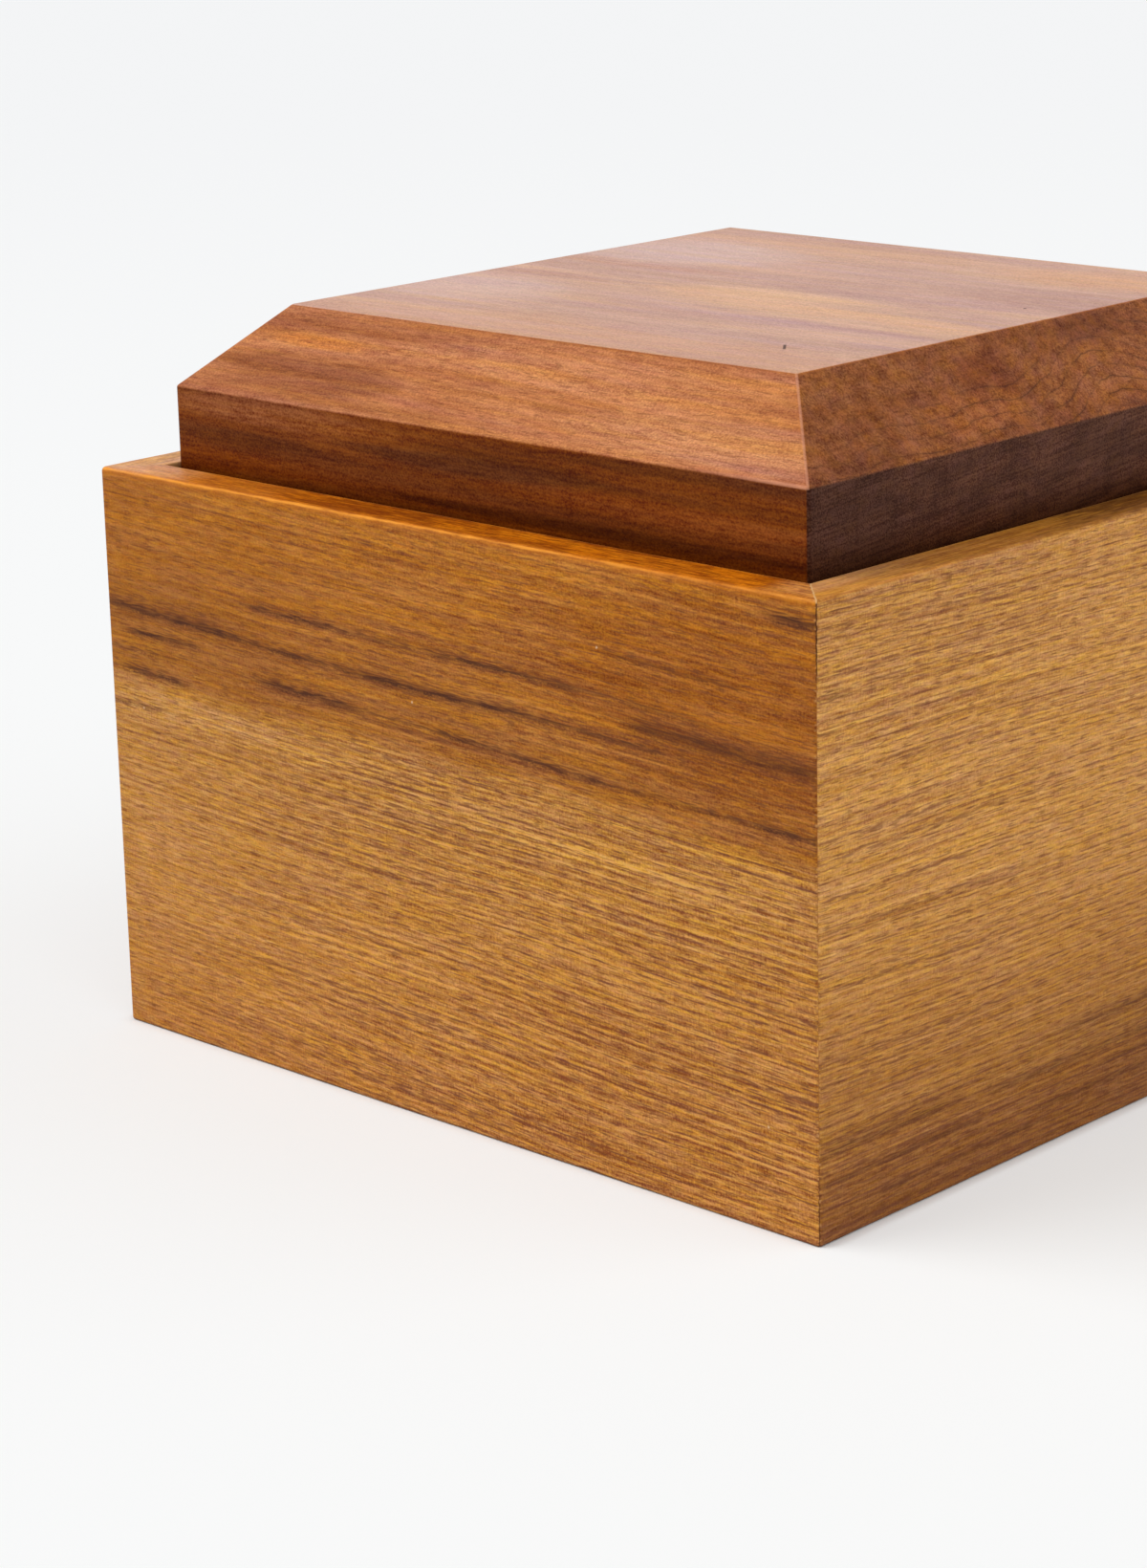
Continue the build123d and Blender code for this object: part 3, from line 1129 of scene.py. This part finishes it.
lidTimber = {
    # the top's pale pink holds a painted sheen: the satin top's reflection of the bright room, over the
    # wood's own colour
    "top": (208, 162, 136),
    "topDusk": (195, 150, 133),
    "bevel": (188, 118, 71),
    "bevelDusk": (172, 102, 62),
    "side": (122, 60, 12),
    "sideDusk": (101, 47, 9),
    "endBevel": (143, 84, 45),
    "endBevelDusk": (132, 74, 39),
    "endSide": (86, 51, 36),
    "endSideDusk": (72, 41, 28),
    # how far the grain swings each face's red, green and blue, either way
    "swing": {
        "top": (0.48, 0.56, 0.47),
        "bevel": (0.48, 0.66, 0.62),
        "side": (0.48, 0.73, 0.90),
        "endBevel": (0.48, 0.64, 0.70),
        "endSide": (0.48, 0.65, 0.72),
    },
    "contrast": {"top": 1.0, "bevel": 1.0, "side": 1.4, "endBevel": 2.1, "endSide": 2.9},
    "golder": (1.03, 1.0, 0.50, 1.0),
    "pinker": (0.97, 1.0, 1.50, 1.0),
    "redder": (1.0, 0.94, 1.0, 1.0),
    "greener": (1.0, 1.06, 1.0, 1.0),
    "tinted": {"top": 0.6, "bevel": 1.5, "side": 3.2, "endBevel": 1.8, "endSide": 0.8},
    "reddened": {"top": 1.4, "bevel": 1.6, "side": 1.4, "endBevel": 2.6, "endSide": 1.0},
    "paintedGapShade": (0.72, 0.58, 0.36, 1.0),  # painted shade: how dark the sides go down by the rim
    "gapReach": 5.0,
    "vessel": (104, 54, 28),
    "ring": (70, 36, 20),
    "ringPitch": 1.9,
    "ringKink": 0.6,
    "hill": {"middle": 10.0, "reach": 26.0, "rise": -5.0},  # where a branch began, in mm along y
    "roll": 7.0,  # mm by which the growth layers roll
    "ripple": 1.0,
    "fibreFall": -0.08,
    "wobble": 1.6,  # how ragged the patches of the sides are
    "billow": 1.8,  # and of the top and the ends
    "hip": (212, 148, 118),  # painted highlight: a pale line down the hips and along the near end of the shoulder
    # painted highlight along the end bevels' top arris
    "topArrisHighlight": (206, 122, 58),
    "topEdge": (146, 78, 34),
    "pin": (72, 30, 2),
    # centre, half length, half width, colour, strength, in mm
    "topPatches": [  # x and y, over top colours that hold the painted sheen
        ((6, 0.7), 21, 3.0, (222, 174, 134), 0.9),
        ((0, -6), 19, 4.4, (221, 171, 134), 0.85),
        ((26, -10), 34, 4.4, (220, 169, 132), 0.8),
        ((50, -12), 16, 3.8, (217, 165, 128), 0.7),
        ((42, 43), 24, 9, (216, 160, 116), 0.7),
        ((10, -24), 28, 7.5, (190, 144, 134), 0.65),
        ((44, -20.5), 14, 1.4, (182, 134, 122), 0.6),
        ((52, -31.5), 10, 1.8, (182, 140, 136), 0.6),
        ((-36, 11), 26, 3.0, (192, 138, 120), 0.55),
        ((-44, -6), 14, 3.0, (186, 134, 116), 0.55),
        ((20, -54), 90, 15.0, (205, 150, 118), 0.65),
        ((46, 20), 22, 12, (186, 140, 124), 0.7),
        ((14, 27), 26, 9, (190, 148, 138), 0.5),
        ((-40, 28), 24, 15, (214, 180, 172), 0.65),
        ((-46, -24), 22, 14, (213, 177, 167), 0.6),
        ((-20, 46), 40, 8.0, (204, 154, 128), 0.5),
    ],
    "frontPatches": [  # x and z
        ((-53, 118.6), 10, 1.7, (124, 64, 32), 0.55),
        ((-31, 118.0), 12, 2.1, (126, 66, 32), 0.55),
        ((-45, 117.6), 24, 3.2, (148, 82, 43), 0.7),
        ((-44, 122.3), 11, 1.0, (208, 126, 54), 0.6),
        ((-32, 125.2), 24, 1.6, (156, 88, 44), 0.65),
        ((-28, 114.6), 24, 1.2, (158, 92, 56), 0.5),
        ((18, 123.2), 40, 3.0, (206, 136, 82), 0.55),
        ((48, 117.2), 30, 3.0, (206, 142, 102), 0.5),
        ((14, 118.2), 5, 0.8, (140, 76, 40), 0.5),
    ],
    "sidePatches": [
        ((-52, 102.0), 26, 2.0, (128, 62, 8), 0.55),
        ((-55, 106.5), 20, 1.4, (88, 42, 12), 0.5),
        ((-48, 111.2), 30, 2.2, (148, 84, 40), 0.65),
        ((2, 108.6), 30, 2.2, (78, 37, 10), 0.65),
        ((42, 106.0), 34, 2.0, (138, 68, 16), 0.5),
        ((30, 101.5), 46, 1.4, (66, 28, 4), 0.7),
        ((44, 112.2), 26, 1.2, (84, 40, 14), 0.6),
    ],
    "endPatches": [  # y and z
        ((-17, 122.0), 8, 3.4, (118, 57, 26), 0.6),
        ((-26, 117.6), 13, 2.8, (162, 94, 47), 0.55),
        ((13, 125.0), 11, 1.8, (106, 55, 30), 0.6),
        ((-56, 115.0), 10, 1.6, (106, 59, 34), 0.55),
        ((-46, 123.6), 15, 2.6, (148, 92, 47), 0.25),
        ((-50, 118.0), 18, 4.0, (124, 68, 36), 0.4),
        ((12, 118.5), 20, 4.2, (158, 94, 52), 0.5),
    ],
    "endSidePatches": [
        ((-62, 106.0), 18, 12.0, (62, 36, 26), 0.5),
    ],
    "pins": [(39.5, -39.5, 2.0), (47.0, 12.0, 0.4)],  # x, y and half length of small dark marks
    "pinRun": (-0.63, 0.776),  # the way they point
    "pinEnds": (0.7, 1.3),  # shares of the half length over which one ends
    "vesselShares": (0.4, 0.1),  # on the long bevels, and on the other faces
    "ringShares": {"core": 0.75, "halo": 0.25, "faint": 0.5, "top": 0.3, "bevel": 0.7, "side": 0.2},
    "ringLean": -0.1,  # how the rings' upper limit falls along y
    # share of the painted highlights on the hips, the shoulder and the end bevels' top arris, and of the dark
    # line along the front top edge
    "edgeLineShare": 0.5,
    "gloss": -0.14,  # how the strokes shift the roughness
    "relief": {"strokes": 0.5, "vessels": -0.6},
    "specular": 0.05,
    "roughness": 0.47,
    "bump": {"strength": 0.25, "distance": 0.08},
    "layers": {  # mm along the grain, up through the growth layers and across, then detail
        "broad": ((70.0, 4.0, 9.0), 2.0),
        "ribbons": ((40.0, 1.4, 2.2), 1.0),
        "clouds": ((30.0, 3.0, 5.0), 2.0),
        "strokes": ((4.0, 0.45, 0.5), 0.5),
        "vessels": ((2.2, 0.2, 0.24), 0.0),
        "tints": ((40.0, 1.6, 3.0), 2.0),
        "rosy": ((4.0, 0.7, 0.9), 1.0),
        "patchy": ((30.0, 5.0, 10.0), 1.0),
    },
    "figure": {  # the same along x, y and z, for what doesn't follow the growth layers
        "hills": ((150.0, 26.0, 60.0), 1.0),
        "ripples": ((60.0, 5.0, 20.0), 1.0),
        "kinks": ((40.0, 2.6, 6.0), 1.0),
        "wool": ((0.4, 0.3, 0.3), 1.0),
        "blotches": ((20.0, 3.0, 8.0), 2.0),
        "mottles": ((20.0, 2.4, 1.4), 2.0),
        "chatter": ((20.0, 0.9, 30.0), 1.0),
    },
    "fibres": ((8.0, 0.36, 3.0), 1.0),  # and along y, z and x
    "tones": {  # weight of each on long grain, on the flat top, on an end bevel and on an end side
        "ribbons": (0.55, 0.12, 0.45, 0.15),
        "strokes": (0.6, 0.2, 0.25, 0.3),
        "wool": (1.0, 0.8, 0.85, 1.0),
        "clouds": (0.3, 0.3, 0.0, 0.0),
        "blotches": (0.0, 0.0, 0.25, 0.15),
        "mottles": (0.0, 0.0, 0.35, 0.1),
        "chatter": (0.0, 0.0, 0.12, 0.2),
        "fibres": (0.0, 0.0, 0.2, 0.55),
    },
    "ranges": {  # where each thing begins and ends, in mm unless noted
        "endGrain": (0.3, 0.6),  # parts of the normal, as the next four
        "flat": (0.8, 0.96),
        "front": (-0.6, -0.35),
        "right": (0.35, 0.6),
        "underside": (-0.9, -0.4),
        "lower": (-0.35, 0.15),  # about the shoulder
        "ringCore": (0.0, 0.08),  # shares of the ring pitch
        "ringHalo": (0.0, 0.3),
        "ringTop": (120.0, 126.0),
        "hip": (0.1, 0.45),
        "shoulder": (0.1, 0.4),
        "shoulderEnd": (48.0, 68.0),
        "topArrisHighlight": (0.05, 0.3),
        "topEdge": (0.05, 0.4),
        "pinWidth": (0.12, 0.34),
        # levels of a layer between which a mark comes in
        "broad": (0.36, 0.64),
        "vessels": (0.6, 0.74),
        "patchy": (0.4, 0.6),
    },
}


def lidPlaces():
    # a point's place on the lid in mm, the faces it may be on and the grain's layers there
    bench = Bench("lidTimber", lidTimber)
    point, normal = bench.places()
    at = SimpleNamespace(bench=bench)
    at.x, at.y, at.z = bench.split(point)
    normalX, normalY, normalZ = bench.split(normal)
    at.endGrain = bench.over(bench.size(normalX), "endGrain")
    at.flat = bench.over(normalZ, "flat")
    at.inFront = bench.over(normalY, "front", 1.0, 0.0)
    at.onRight = bench.over(normalX, "right")
    at.notUnder = bench.over(normalZ, "underside")
    at.lower = bench.over(at.z, "lower", 1.0, 0.0, lidCut["shoulder"])

    # growth layers lie nearly flat and roll gently, with one hill where a branch began
    layer = {name: bench.speckle(point, *sizes) for name, sizes in lidTimber["figure"].items()}
    hill = lidTimber["hill"]
    offHill = bench.size(bench.minus(at.y, hill["middle"]))
    growth = bench.reckon("ADD", at.z, bench.fade(offHill, 0.0, hill["reach"], hill["rise"], 0.0))
    growth = bench.scaleAdd(layer["hills"], lidTimber["roll"], growth)
    at.growth = bench.scaleAdd(layer["ripples"], lidTimber["ripple"], growth)
    grain = bench.combine(at.x, at.growth, at.y)
    layer.update({name: bench.speckle(grain, *sizes) for name, sizes in lidTimber["layers"].items()})
    falling = bench.scaleAdd(at.y, lidTimber["fibreFall"], at.z)
    layer["fibres"] = bench.speckle(bench.combine(at.y, falling, at.x), *lidTimber["fibres"])
    layer["rosy"] = bench.weigh(at.endGrain, layer["rosy"], layer["mottles"])
    layer["broad"] = bench.over(layer["broad"], "broad")
    layer["vessels"] = bench.over(layer["vessels"], "vessels")
    at.layer = layer
    return at


def perFace(at, values, mixer):
    sloped = mixer(at.endGrain, values["bevel"], values["endBevel"])
    steep = mixer(at.endGrain, values["side"], values["endSide"])
    return mixer(at.flat, mixer(at.lower, sloped, steep), values["top"])


def lidColour(at):
    # every face has its own colours, and its own light and dark patches
    bench, layer = at.bench, at.layer
    wobble = bench.times(bench.swing(layer["ribbons"]), lidTimber["wobble"])
    billow = bench.times(bench.swing(layer["clouds"]), lidTimber["billow"])
    colours = {}
    for face, patches, along, across, ragged, mask in (
        ("top", "topPatches", at.x, at.y, billow, 1.0),
        ("bevel", "frontPatches", at.x, at.z, wobble, at.inFront),
        ("side", "sidePatches", at.x, at.z, wobble, at.inFront),
        ("endBevel", "endPatches", at.y, at.z, billow, at.onRight),
        ("endSide", "endSidePatches", at.y, at.z, billow, at.onRight),
    ):
        plain = bench.blend(layer["broad"], lidTimber[face], lidTimber[face + "Dusk"])
        colours[face] = softPatches(bench, plain, along, across, ragged, lidTimber[patches], mask)
    return perFace(at, colours, bench.blend)


def lidFineGrain(at, shade):
    bench, layer = at.bench, at.layer
    tone = 0.0
    for name, (long, onTop, end, steepEnd) in lidTimber["tones"].items():
        weights = {"top": onTop, "bevel": long, "side": long, "endBevel": end, "endSide": steepEnd}
        tone = bench.scaleAdd(bench.swing(layer[name]), perFace(at, weights, bench.weigh), tone)
    tone = bench.scaleAdd(tone, perFace(at, lidTimber["contrast"], bench.weigh), 0.5)
    ends = []
    for way in (-1, 1):
        swings = lidTimber["swing"].items()
        tones = {face: [1.0 + way * part for part in swing] + [1.0] for face, swing in swings}
        ends.append(perFace(at, tones, bench.blend))
    shade = bench.blend(1.0, shade, bench.blend(tone, *ends), "MULTIPLY")

    # the hue drifts between gold and pink, and a little between green and red
    for name, amount, first, second in (
        ("tints", "tinted", "golder", "pinker"),
        ("rosy", "reddened", "greener", "redder"),
    ):
        share = bench.swing(layer[name])
        share = bench.scaleAdd(share, perFace(at, lidTimber[amount], bench.weigh), 0.5)
        hue = bench.blend(share, lidTimber[first], lidTimber[second])
        shade = bench.blend(1.0, shade, hue, "MULTIPLY")
    quiet = bench.larger(bench.larger(at.endGrain, at.flat), at.lower)
    share = bench.times(layer["vessels"], bench.fade(quiet, 0.0, 1.0, *lidTimber["vesselShares"]))
    return bench.blend(share, shade, lidTimber["vessel"])


def lidRings(at, shade):
    # thin dark rings in the end grain, where a growing season ended
    bench = at.bench
    shares = lidTimber["ringShares"]
    turns = bench.scaleAdd(at.layer["kinks"], lidTimber["ringKink"], at.growth)
    turns = bench.reckon("FRACT", bench.reckon("DIVIDE", turns, lidTimber["ringPitch"]))
    off = bench.size(bench.swing(turns))
    core = bench.over(off, "ringCore", shares["core"], 0.0)
    ring = bench.reckon("ADD", core, bench.over(off, "ringHalo", shares["halo"], 0.0))
    patchy = bench.over(at.layer["patchy"], "patchy", shares["faint"], 1.0)
    lowEnd = bench.over(bench.scaleAdd(at.y, lidTimber["ringLean"], at.z), "ringTop", 1.0, shares["top"])
    share = bench.times(bench.times(ring, bench.times(patchy, lowEnd)), at.endGrain)
    share = bench.times(share, bench.fade(at.lower, 0.0, 1.0, shares["bevel"], shares["side"]))
    return bench.blend(share, shade, lidTimber["ring"])


def lidPaintedShadeAndHighlights(at, shade):
    # painted shade down in the gap, then painted highlights down the hips, along the near end of the front
    # shoulder and along the end bevels' top arris, and a dark line along the front faces' top edge
    bench = at.bench
    rubAndSheen = lidTimber["edgeLineShare"]
    gap = bench.fade(at.z, rimHeight, rimHeight + lidTimber["gapReach"], 1.0, 0.0)
    shade = bench.blend(bench.times(gap, at.notUnder), shade, lidTimber["paintedGapShade"], "MULTIPLY")
    notFlat = bench.minus(1.0, at.flat)
    toHip = bench.size(bench.minus(bench.size(at.x), bench.size(at.y)))
    hip = bench.times(bench.over(toHip, "hip", rubAndSheen, 0.0), bench.minus(notFlat, at.lower))
    toShoulder = bench.size(bench.minus(at.z, lidCut["shoulder"]))
    nearEnd = bench.times(at.inFront, bench.over(at.x, "shoulderEnd"))
    shoulder = bench.times(bench.over(toShoulder, "shoulder", rubAndSheen, 0.0), nearEnd)
    shade = bench.blend(bench.larger(hip, shoulder), shade, lidTimber["hip"])
    toTop = bench.minus(lidTop, at.z)
    for name, mask in (("topArrisHighlight", at.endGrain), ("topEdge", at.inFront)):
        arris = bench.over(toTop, name, rubAndSheen, 0.0)
        shade = bench.blend(bench.times(arris, bench.times(mask, notFlat)), shade, lidTimber[name])
    return shade


def lidPins(at, shade):
    bench = at.bench
    runX, runY = lidTimber["pinRun"]
    for markX, markY, long in lidTimber["pins"]:
        shiftX = bench.minus(at.x, markX)
        shiftY = bench.minus(at.y, markY)
        run = bench.scaleAdd(shiftY, runY, bench.times(shiftX, runX))
        cross = bench.scaleAdd(shiftX, runY, bench.times(shiftY, -runX))
        near, far = [share * long for share in lidTimber["pinEnds"]]
        mark = bench.fade(bench.size(run), near, far, 1.0, 0.0)
        mark = bench.times(mark, bench.over(bench.size(cross), "pinWidth", 1.0, 0.0))
        shade = bench.blend(bench.times(mark, at.flat), shade, lidTimber["pin"])
    return shade


def lidMaterial():
    at = lidPlaces()
    bench, layer = at.bench, at.layer
    shade = lidFineGrain(at, lidColour(at))
    shade = lidPaintedShadeAndHighlights(at, lidRings(at, shade))
    shade = lidPins(at, shade)
    relief = lidTimber["relief"]
    roughness = bench.scaleAdd(layer["strokes"], lidTimber["gloss"], lidTimber["roughness"])
    height = bench.times(layer["strokes"], relief["strokes"])
    height = bench.scaleAdd(layer["vessels"], relief["vessels"], height)
    return bench.finish(shade, roughness, height)


lidBoard(lidMaterial())
print("lid done")


# Inside: base panel, lid rests and the hidden splines keep their CAD shapes and get bare timber
innerTimber = {
    "pale": (206, 158, 100),
    "dark": (172, 118, 66),
    "fleck": (130, 82, 46),
    # layers as the wall's, each with the levels between which it comes in
    "broad": ((120.0, 7.0, 9.0), 2.0, (0.34, 0.66)),
    "rings": ((40.0, 1.1, 1.6), 2.0, (0.34, 0.66)),
    "flecks": ((5.0, 0.4, 0.5), 1.0, (0.56, 0.74)),
    "shift": (1.0, 0.7, 0.3),  # how far a seed moves the grain along x, y and z
    "seeds": {"base": 50.0, "rests": 90.0, "splines": 700.0},
    "fleckShare": 0.5,
    "gloss": 0.1,  # how the rings shift the roughness
    "relief": {"rings": -0.5, "flecks": -0.8},
    "specular": 0.25,
    "roughness": 0.58,
    "bump": {"strength": 0.3, "distance": 0.1},
}


def innerMaterial(name, axis, seed):
    bench = Bench(name, innerTimber)
    point = bench.places([seed * share for share in innerTimber["shift"]])[0]
    x, y, z = bench.split(point)
    axes = {"x": (x, y, z), "y": (y, x, z), "z": (z, x, y)}
    grain = bench.combine(*axes[axis])
    broad, rings, flecks = [
        bench.fade(bench.speckle(grain, length, detail), *levels)
        for length, detail, levels in [innerTimber[part] for part in ("broad", "rings", "flecks")]
    ]
    share = bench.scaleAdd(broad, 0.5, bench.times(rings, 0.5))
    shade = bench.blend(share, innerTimber["pale"], innerTimber["dark"])
    shade = bench.blend(bench.times(flecks, innerTimber["fleckShare"]), shade, innerTimber["fleck"])
    relief = innerTimber["relief"]
    roughness = bench.scaleAdd(rings, innerTimber["gloss"], innerTimber["roughness"])
    height = bench.scaleAdd(flecks, relief["flecks"], bench.times(rings, relief["rings"]))
    return bench.finish(shade, roughness, height)


def dressNode(node, material):
    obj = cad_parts[node]
    obj.data.materials.clear()
    obj.data.materials.append(material)


innerSeeds = innerTimber["seeds"]
dressNode("base_panel", innerMaterial("baseTimber", "x", innerSeeds["base"]))
for sideName, sideTurn in sideTurns.items():
    runs = "x" if sideName in ("front", "back") else "y"
    restTimber = innerMaterial(f"{sideName}RestTimber", runs, innerSeeds["rests"] + sideTurn)
    dressNode(f"{sideName}_lid_rest", restTimber)
splineTimber = innerMaterial("splineTimber", "z", innerSeeds["splines"])
for corner in ("front_right", "back_right", "back_left", "front_left"):
    dressNode(f"{corner}_spline", splineTimber)
print("inside done")
